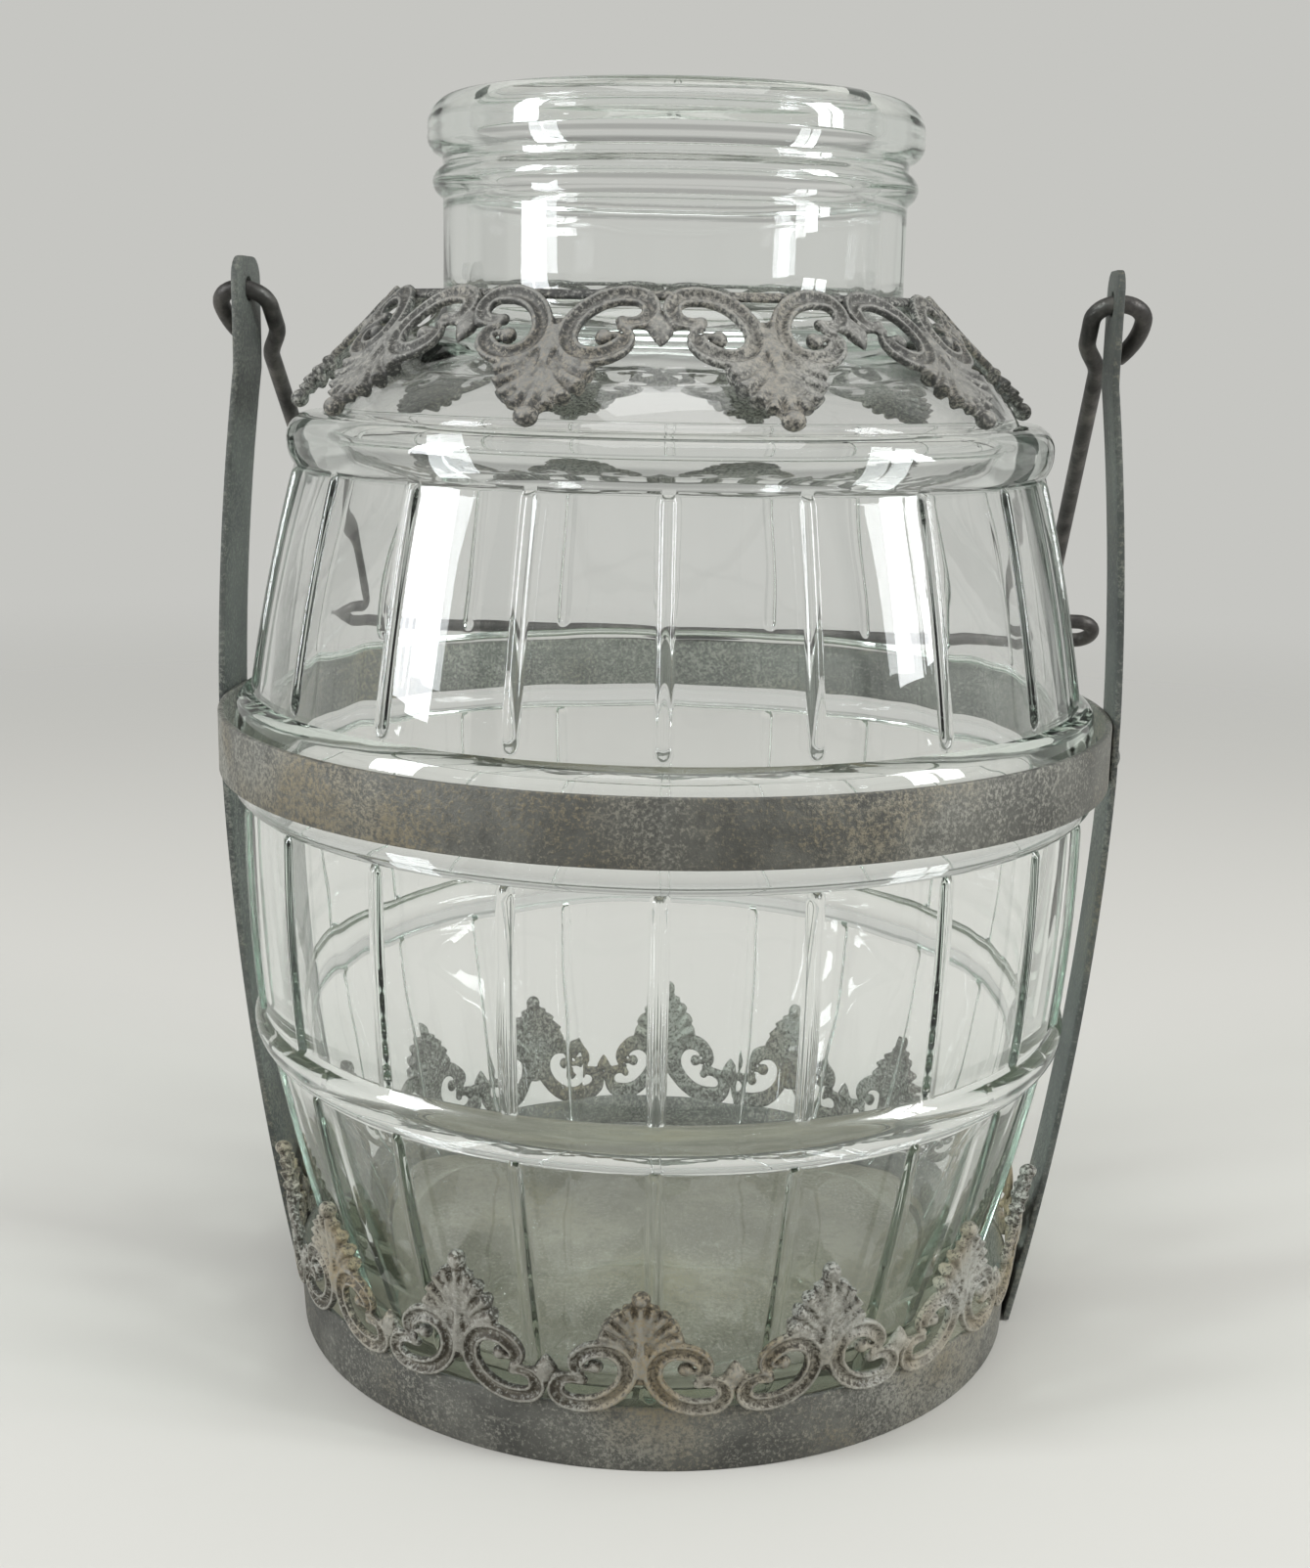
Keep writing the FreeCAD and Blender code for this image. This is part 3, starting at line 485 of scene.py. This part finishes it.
def scroll_and_leaf():
    """One cast motif in millimetres, root edge on y = 0: two ear-shaped scrolls that lean outwards and curl
    in, a fluted leaf with a button at its tip, and the bud that joins it to the next motif, run together by a
    remesh and softened as worn castings are. The attribute on its vertices is painted shade: it is low on
    edges and in hollows, where the surface turns away from facing straight out, and high on ridges that face
    out. It is also lower on the casting's low parts, which is partly patina."""
    scroll = ((12.7, 8.1, 0.5), (15.0, 8.7, 0.65), (17.5, 7.6, 0.8), (18.4, 5.2, 0.92), (17.2, 2.9, 0.97),
              (14.2, 2.0, 1.0), (10.4, 2.3, 1.0), (6.7, 4.1, 1.0), (3.9, 7.3, 1.0), (2.7, 11.0, 1.0),
              (3.4, 14.6, 1.0), (5.8, 16.9, 1.0), (9.2, 17.2, 1.0), (12.2, 15.7, 0.98), (13.9, 13.1, 0.9),
              (13.2, 11.0, 0.75), (11.6, 10.4, 0.6))
    wing = ((16.0, 8.4, 0.8), (18.4, 9.3, 1.0), (20.4, 9.3, 1.2))
    flutes = (((1.6, 16.6, 0.6), (5.0, 19.4, 1.0), (8.7, 21.3, 1.6)),
              ((1.4, 18.2, 0.6), (4.4, 21.8, 1.0), (7.4, 24.6, 1.6)),
              ((1.1, 19.8, 0.6), (3.2, 24.1, 1.0), (5.4, 27.6, 1.5)),
              ((0.8, 21.6, 0.5), (1.9, 25.8, 0.8), (3.0, 29.7, 1.2)))
    ridge = ((0, 10.0, 1.2), (0, 15.0, 1.6), (0, 21.0, 1.0), (0, 29.5, 1.0))
    backing = [(0.0, 7.6), (1.9, 8.6), (2.4, 13.0), (4.6, 16.4), (6.8, 19.4), (6.4, 22.4), (4.8, 25.6),
               (3.0, 28.6), (1.2, 31.0), (0.0, 31.6)]
    bud = ((5.6, 0.9), (8.2, 1.9), (10.4, 2.7), (12.2, 1.7), (14.2, 0.3))

    def mirrored(points, side):
        return [(side * x, y, radius) for x, y, radius in points]

    bm = bmesh.new()
    section = band_section()
    for side in (-1, 1):
        add(bm, stroke(mirrored(scroll, side), 1.0, section), 0.45)
        ball(bm, side * 9.7, 12.0, 1.8, 1.4)
        ball(bm, side * 12.6, 7.9, 1.3, 1.0)
        add(bm, stroke(mirrored(wing, side), 0.7, fine=3), 0.1)
        for number, flute in enumerate(flutes):
            add(bm, stroke(mirrored(flute, side), 1.25, fine=4), 0.1 * number)
    add(bm, stroke(ridge, 0.9, fine=4), 0.5)
    ball(bm, 0, 31.7, 2.1, 1.9)
    add(bm, plate(backing + [(-x, y) for x, y in backing[-2:0:-1]], 1.0, 0.3), -0.2)
    add(bm, stroke([(MOTIF_PITCH / 2, y, radius) for y, radius in bud], 0.5, fine=4), 0.15)
    bpy.data.curves.remove(section.data)
    mesh = bpy.data.meshes.new("scroll_and_leaf")
    bm.to_mesh(mesh)
    bm.free()
    holder = bpy.data.objects.new("scroll_and_leaf", mesh)
    bpy.context.scene.collection.objects.link(holder)
    fuse = holder.modifiers.new("fuse", "REMESH")
    fuse.mode = "VOXEL"
    fuse.voxel_size = 0.42
    wear = holder.modifiers.new("wear", "SMOOTH")
    wear.factor = 0.35
    wear.iterations = 1
    lighten = holder.modifiers.new("lighten", "DECIMATE")
    lighten.ratio = 0.45
    fused = bpy.data.meshes.new_from_object(holder.evaluated_get(bpy.context.evaluated_depsgraph_get()))
    bpy.data.objects.remove(holder)
    bpy.data.meshes.remove(mesh)
    bm = bmesh.new()
    bm.from_mesh(fused)
    bm.normal_update()
    # painted shade and highlight: high where the surface faces straight out, falling steeply where it turns
    # away, and lower on the low parts of the casting, which is partly patina
    painted_shade_and_patina = bm.verts.layers.float.new("painted_shade_and_patina")
    for vert in bm.verts:
        height = min(1.0, max(0.0, vert.co.z / RIM_HEIGHT))
        vert[painted_shade_and_patina] = max(0.0, vert.normal.z) ** 4 * (0.35 + 0.65 * height)
    bm.to_mesh(fused)
    bm.free()
    return fused


def lace(bm, motif, root, tip, count, phase, curl, spread):
    """Adds copies of the flat motif to bm, laid round the cone between root and tip, points of the (radius,
    height) plane. Each leaf is curled out at its end by up to twice curl millimetres and stretched by up to
    twice the share spread, a little more or less than its neighbour, as hand-bent ones are."""
    root, tip = Vector(root), Vector(tip)
    slope = (tip - root).normalized()
    outward = Vector((abs(slope.y), slope.x * (-1 if slope.y > 0 else 1)))
    tall = (tip - root).length / MOTIF_HEIGHT
    wide = 2 * math.pi * root.x / count / MOTIF_PITCH
    for number in range(count):
        centre = math.radians(phase - 90) + 2 * math.pi * number / count
        # no round share of a turn, so that no two motifs are bent alike
        uneven = 2.2 * number
        bent = curl * (1 + math.cos(uneven))
        stretch = spread * (1 - math.cos(uneven + 0.3))
        before = len(bm.verts)
        bm.from_mesh(motif)
        bm.verts.ensure_lookup_table()
        for vert in bm.verts[before:]:
            leaf = max(0.0, vert.co.y - LEAF_START) / LEAF_LENGTH
            run = vert.co.y * (1 + stretch * leaf)
            place = root + slope * run * tall + outward * (vert.co.z * RELIEF_DEPTH + bent * leaf * leaf)
            angle = centre + vert.co.x * wide / root.x
            vert.co = Vector((place.x * math.cos(angle), place.x * math.sin(angle), place.y)) * MM


def hoop(bm, outline, rounding):
    """Adds a ring to bm, turned from a closed (radius, height) outline in millimetres, with rounded edges."""
    ring = bmesh.new()
    verts = [ring.verts.new((radius * MM, 0, height * MM)) for radius, height in outline]
    ring.faces.new(verts)
    bmesh.ops.bevel(ring, geom=ring.verts[:], offset=rounding * MM, segments=2, affect="VERTICES",
                    profile=0.5, material=-1)
    bmesh.ops.delete(ring, geom=ring.faces[:], context="FACES_ONLY")
    bmesh.ops.spin(ring, geom=ring.edges[:] + ring.verts[:], cent=(0, 0, 0), axis=(0, 0, 1),
                   angle=2 * math.pi, steps=256, use_merge=True, use_duplicate=False)
    bmesh.ops.recalc_face_normals(ring, faces=ring.faces)
    add(bm, ring)


MOTIF = scroll_and_leaf()


def collar():
    """Loose pierced collar on the jar's shoulder, a little to the left of the jar's axis. Its scrolls reach
    up over the plain bar at its top."""
    top, tip = Vector((68.4, 281.5)), Vector((98.0, 251.3))
    bar_depth, bar_front, bar_back = 2.5, 0.5, 0.75
    aside = -2.7
    slope = (tip - top).normalized()
    normal = Vector((-slope.y, slope.x))
    bm = bmesh.new()
    lace(bm, MOTIF, top, tip, count=10, phase=22.6, curl=0.3, spread=0.0)
    front, back = top + normal * bar_front, top - normal * bar_back
    hoop(bm, [tuple(p) for p in (back, back + slope * bar_depth, front + slope * bar_depth, front)],
         rounding=0.4)
    bmesh.ops.translate(bm, vec=(aside * MM, 0, 0), verts=bm.verts)
    return piece("pierced_collar", bm, COLLAR_LACE, "carrier", smooth=50)


def tray_border():
    """Pierced border that stands on the tray's wall, a little bent and uneven."""
    bm = bmesh.new()
    lace(bm, MOTIF, (101.4, 16.6), (104.5, 51.0), count=14, phase=3.0, curl=1.0, spread=0.06)
    return piece("tray_border", bm, TRAY_LACE, "carrier", smooth=50)


def tray_wall():
    """Plain strip round the tray's floor, flared slightly."""
    bm = bmesh.new()
    hoop(bm, [(99.2, 0.0), (100.4, 0.0), (101.5, 17.5), (100.3, 17.5)], rounding=0.4)
    return piece("tray_wall", bm, STRIP, "carrier", smooth=50)


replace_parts(collar(), "collar")
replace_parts(tray_border(), "base_ring")
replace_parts(tray_wall(), "base_ring")
bpy.data.meshes.remove(MOTIF)


# ------------------------------------------------------------------ band, uprights and bail
BAND_BOTTOM = 157.6
BAND_TOP = 174.0
PIVOT_X = 114.6
PIVOT_Z = 281.5


def middle_band():
    """Plain strip round the jar's middle."""
    inner, outer = 118.5, 120.1
    bm = bmesh.new()
    hoop(bm, [(inner, BAND_BOTTOM), (outer, BAND_BOTTOM), (outer, BAND_TOP), (inner, BAND_TOP)],
         rounding=0.45)
    return piece("middle_band_strip", bm, STRIP, "carrier", smooth=50)


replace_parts(middle_band(), "middle_band")


def upright_path():
    """Middle line of the right upright as fine points (x, z), from its lower end to its top: bowed up to the
    band, plumb across it, then leaning in, and plumb again where the bail goes through."""
    points = [Vector((101.5, 0.5))]
    points += bow((101.5, 0.5), (121.0, BAND_BOTTOM), 3.6, 80)
    points += bow((121.0, BAND_BOTTOM), (121.0, BAND_TOP), 0, 6)
    points += bow((121.0, BAND_TOP), (PIVOT_X, 261.5), 1.2, 40)
    points += bow((PIVOT_X, 261.5), (PIVOT_X, 290.0), 0, 10)
    return points


def upright(name, side):
    """Flat strip with rounded top corners and the hole for the bail, bent to its path."""
    half_thick, rounding = 0.9, 0.35
    half_wide, corner = 11.0, 6.0
    hole_radius, hole_drop = 3.2, 8.5
    cuts = 70
    path = upright_path()
    runs = [0.0]
    for a, b in zip(path, path[1:]):
        runs.append(runs[-1] + (b - a).length)
    total = runs[-1]
    curve = bpy.data.curves.new(name, "CURVE")
    curve.dimensions = "2D"
    curve.fill_mode = "BOTH"
    curve.extrude = half_thick - rounding
    curve.bevel_depth = rounding
    curve.bevel_resolution = 1
    curve.offset = -rounding
    outline = [(-half_wide, 0), (half_wide, 0)]
    for centre, start in ((half_wide - corner, 0), (corner - half_wide, 90)):
        for turn in [math.radians(start + d) for d in range(0, 91, 15)]:
            outline.append((centre + corner * math.cos(turn), total - corner + corner * math.sin(turn)))
    hole = [(hole_radius * math.cos(turn), total - hole_drop + hole_radius * math.sin(turn))
            for turn in [math.radians(d) for d in range(0, -360, -15)]]
    spline(curve, [(x, y, 1) for x, y in outline], cyclic=True, kind="POLY")
    spline(curve, [(x, y, 1) for x, y in hole], cyclic=True, kind="POLY")
    bm = from_curve(curve)
    for k in range(1, cuts):
        bmesh.ops.bisect_plane(bm, geom=bm.verts[:] + bm.edges[:] + bm.faces[:], dist=1e-5,
                               plane_co=(0, total * k / cuts, 0), plane_no=(0, 1, 0))
    for vert in bm.verts:
        run = min(total, max(0.0, vert.co.y))
        beyond = next((i for i, r in enumerate(runs) if r > run), len(runs))
        place = max(0, min(len(runs) - 2, beyond - 1))
        a, b = path[place], path[place + 1]
        share = (run - runs[place]) / (runs[place + 1] - runs[place])
        along = (b - a).normalized()
        normal = Vector((along.y, -along.x))
        point = a + (b - a) * share + normal * vert.co.z
        vert.co = Vector((side * point.x, vert.co.x, point.y)) * MM
    bmesh.ops.remove_doubles(bm, verts=bm.verts, dist=1e-7)
    bmesh.ops.recalc_face_normals(bm, faces=bm.faces)
    return piece(name, bm, STRAP, "carrier", smooth=35)


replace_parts(upright("right_upright_strap", 1), "upright_right")
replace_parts(upright("left_upright_strap", -1), "upright_left")


def bail():
    """Round rod: an eye through each upright, straight legs, and turned-out ears at the ends of the crossbar.
    It is drawn hanging straight down from its pivots, then swung back until the crossbar rests on the band."""
    rod, clearance = 2.3, 0.3
    glass_radius = 116.6
    eye_radius, eye_shift = 6.65, 1.45
    inner_bend, outer_bend = 4.6, 5.4
    ear = 10.6
    bar_y, bar_z = glass_radius + rod + clearance, BAND_TOP + rod + clearance
    reach = math.hypot(bar_y, PIVOT_Z - bar_z)
    tilt = math.atan2(bar_y, PIVOT_Z - bar_z)
    leg_x, eye_x = PIVOT_X - 1.2, PIVOT_X + eye_shift
    eye_z = -math.sqrt(eye_radius ** 2 - eye_shift ** 2)

    def turn(cx, cz, radius, start, end, count):
        """Points of an arc round (cx, cz), from start to end degrees, start excluded."""
        angles = [math.radians(start + (end - start) * i / count) for i in range(1, count + 1)]
        return [Vector((cx + radius * math.cos(a), cz + radius * math.sin(a))) for a in angles]

    def sway(a, b):
        """S-bend from a to b that leaves and arrives straight down."""
        count = 14
        return [Vector((a.x + (b.x - a.x) * (3 * t * t - 2 * t ** 3), a.y + (b.y - a.y) * t))
                for t in [i / count for i in range(1, count + 1)]]

    # the rod's end outside the upright, its sweep into the eye, and the eye
    tail = Vector((leg_x + 2 * rod + clearance, eye_z - 14.0))
    outer = Vector((eye_x + eye_radius, eye_z))
    drop = outer.y - tail.y
    shift = outer.x - tail.x
    radius = (drop ** 2 + shift ** 2) / (2 * shift)
    sweep = math.degrees(math.asin(drop / radius))
    half = [tail]
    half += turn(outer.x - radius, outer.y, radius, -sweep, 0, 8)
    half += turn(eye_x, eye_z, eye_radius, 0, 180, 18)
    # the leg, down to its two bends, and half of the crossbar
    half += [Vector((eye_x - eye_radius, eye_z - 4)), Vector((eye_x - eye_radius, eye_z - 8))]
    half += sway(half[-1], Vector((leg_x, eye_z - 20.5)))
    half += [Vector((leg_x, z)) for z in (-45, -65, -85, -105, -125)]
    arm = -reach + 2 * outer_bend
    half += [Vector((leg_x, arm + inner_bend))]
    half += turn(leg_x + inner_bend, arm + inner_bend, inner_bend, 180, 270, 8)
    half += [Vector((leg_x + ear, arm))]
    half += turn(leg_x + ear, arm - outer_bend, outer_bend, 90, -90, 14)
    half += [Vector((x, -reach)) for x in (100, 70, 35)]
    whole = half + [Vector((0, -reach))] + [Vector((-p.x, p.y)) for p in half[::-1]]
    curve = bpy.data.curves.new("bail", "CURVE")
    curve.dimensions = "3D"
    curve.twist_mode = "MINIMUM"
    curve.use_fill_caps = True
    curve.bevel_depth = rod
    curve.bevel_resolution = 6
    spline(curve, [(p.x, p.y, 1) for p in whole], kind="POLY")
    bm = from_curve(curve)
    stand = Matrix.Rotation(math.radians(90), 4, "X")
    swing = Matrix.Rotation(tilt, 4, "X")
    bm.transform(Matrix.Scale(MM, 4) @ Matrix.Translation((0, 0, PIVOT_Z)) @ swing @ stand)
    return piece("wire_bail", bm, WIRE, "bail", smooth=50)


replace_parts(bail(), "bail")

# the tray's floor and the rivets keep the shape they have in the frame
for name, surface in (("base_plate", TRAY), ("rivets", STRAP)):
    mesh = frame["nodes"][name].data
    mesh.materials.clear()
    mesh.materials.append(surface)


# ------------------------------------------------------------------ floor, light and camera
BACKDROP = srgb("#c6c6c2")


def floor():
    """Pale matt floor that fades into the backdrop's colour far from the jar."""
    made, tree = material("pale_floor")
    place = node(tree, "ShaderNodeTexCoord").outputs["Object"]
    far = node(tree, "ShaderNodeVectorMath", links={0: place}, operation="LENGTH").outputs["Value"]
    fade = node(tree, "ShaderNodeMapRange", {"From Min": 0.5, "From Max": 1.6}, {"Value": far},
                interpolation_type="SMOOTHSTEP")
    matt = node(tree, "ShaderNodeBsdfDiffuse", {"Color": srgb("#c9c7c1")})
    gone = node(tree, "ShaderNodeBsdfTransparent")
    finish_material(tree, node(tree, "ShaderNodeMixShader", links={"Fac": fade, 1: matt, 2: gone}))
    bm = bmesh.new()
    bmesh.ops.create_circle(bm, cap_ends=True, radius=2.0, segments=96)
    piece("floor", bm, made, None, smooth=0)


def area_light(name, place, aim, size, power, colour):
    """Oblong lamp at place that faces aim."""
    lamp = bpy.data.lights.new(name, "AREA")
    lamp.shape = "RECTANGLE"
    lamp.size, lamp.size_y = size
    lamp.energy = power
    lamp.color = srgb(colour)[:3]
    made = bpy.data.objects.new(name, lamp)
    made.location = place
    made.rotation_euler = (Vector(aim) - Vector(place)).to_track_quat("-Z", "Y").to_euler()
    bpy.context.scene.collection.objects.link(made)


def world():
    """Plain pale backdrop and an even pale light. Glass and metal also see the room round the jar: pale
    walls with eight slightly darker gaps, and above them a dark frieze, a bright clerestory and a dark
    ceiling, which draw the long lines in the glass."""
    made = bpy.data.worlds.new("studio")
    bpy.context.scene.world = made
    made.use_nodes = True
    tree = made.node_tree
    tree.nodes.clear()
    rays = node(tree, "ShaderNodeLightPath")
    look = node(tree, "ShaderNodeSeparateXYZ",
                links={0: node(tree, "ShaderNodeTexCoord").outputs["Generated"]})
    bearing = node(tree, "ShaderNodeMath", links={0: look.outputs["Y"], 1: look.outputs["X"]},
                   operation="ARCTAN2")
    eighth = node(tree, "ShaderNodeMath", {1: 8.0, 2: math.pi}, {0: bearing}, operation="MULTIPLY_ADD")
    wave = node(tree, "ShaderNodeMath", links={0: eighth}, operation="COSINE")
    gap = node(tree, "ShaderNodeMapRange",
               {"From Min": 0.6, "From Max": 1.0, "To Min": 1.0, "To Max": 0.88}, {"Value": wave},
               interpolation_type="SMOOTHSTEP")
    # walls, frieze, clerestory and ceiling, by the sine of their height above the horizon
    upward = node(tree, "ShaderNodeValToRGB", links={"Fac": look.outputs["Z"]},
                  stops=((0.17, grey(1.0)), (0.21, grey(0.65)), (0.3, grey(0.65)), (0.36, grey(1.0)),
                         (0.48, grey(1.0)), (0.6, grey(0.55)), (0.8, grey(0.4))))
    room = node(tree, "ShaderNodeMath", links={0: gap, 1: upward}, operation="MULTIPLY")
    shade = node(tree, "ShaderNodeMath", links={0: room, 1: rays.outputs["Is Camera Ray"]},
                 operation="MAXIMUM")
    shiny = node(tree, "ShaderNodeMath",
                 links={0: rays.outputs["Is Glossy Ray"], 1: rays.outputs["Is Transmission Ray"]},
                 operation="MAXIMUM")
    seen = node(tree, "ShaderNodeMath", links={0: rays.outputs["Is Camera Ray"], 1: shiny},
                operation="MAXIMUM")
    lit = node(tree, "ShaderNodeBackground", {"Color": srgb("#f3f5f5"), "Strength": 0.5})
    wall = node(tree, "ShaderNodeBackground", {"Color": BACKDROP}, {"Strength": shade})
    mixed = node(tree, "ShaderNodeMixShader", links={"Fac": seen, 1: lit, 2: wall})
    node(tree, "ShaderNodeOutputWorld", links={"Surface": mixed})


def camera():
    """Camera close in front of the jar and slightly to its right, as high as its shoulder and tipped down.
    Its angles are in degrees."""
    heading, downward, roll = 4.7, 12.69, 1.12
    place = (0.0424, -0.5434, 0.2728)
    lens = bpy.data.cameras.new("camera")
    lens.sensor_fit = "HORIZONTAL"
    lens.sensor_width = 36.0
    lens.lens = 55.4
    made = bpy.data.objects.new("camera", lens)
    turn = (Matrix.Rotation(math.radians(heading), 4, "Z")
            @ Matrix.Rotation(math.radians(90 - downward), 4, "X"))
    made.matrix_world = Matrix.Translation(place) @ turn @ Matrix.Rotation(math.radians(roll), 4, "Z")
    bpy.context.scene.collection.objects.link(made)
    bpy.context.scene.camera = made


floor()
world()
for pane in range(2):
    # tall sashes, each a pair of panes, whose outlines show in the glass
    area_light("window_left_%d" % pane, place=(-1.5 + 0.12 * pane, -0.8 + 0.26 * pane, 0.75),
               aim=(0, 0, 0.2), size=(0.22, 0.95), power=10.5, colour="#f8fbff")
    area_light("window_right_%d" % pane, place=(1.45 - 0.07 * pane, -0.5 + 0.24 * pane, 0.8),
               aim=(0, 0, 0.2), size=(0.2, 0.9), power=9, colour="#fbfdff")
area_light("overhead", place=(0.1, -0.3, 1.8), aim=(0, 0, 0.1), size=(1.3, 1.0), power=11, colour="#ffffff")
camera()
bpy.context.scene.view_settings.view_transform = "Standard"
# enough bounces for light to pass both walls of the jar
light_paths = bpy.context.scene.cycles
light_paths.max_bounces = 24
light_paths.transmission_bounces = 24
light_paths.transparent_max_bounces = 24
light_paths.glossy_bounces = 12
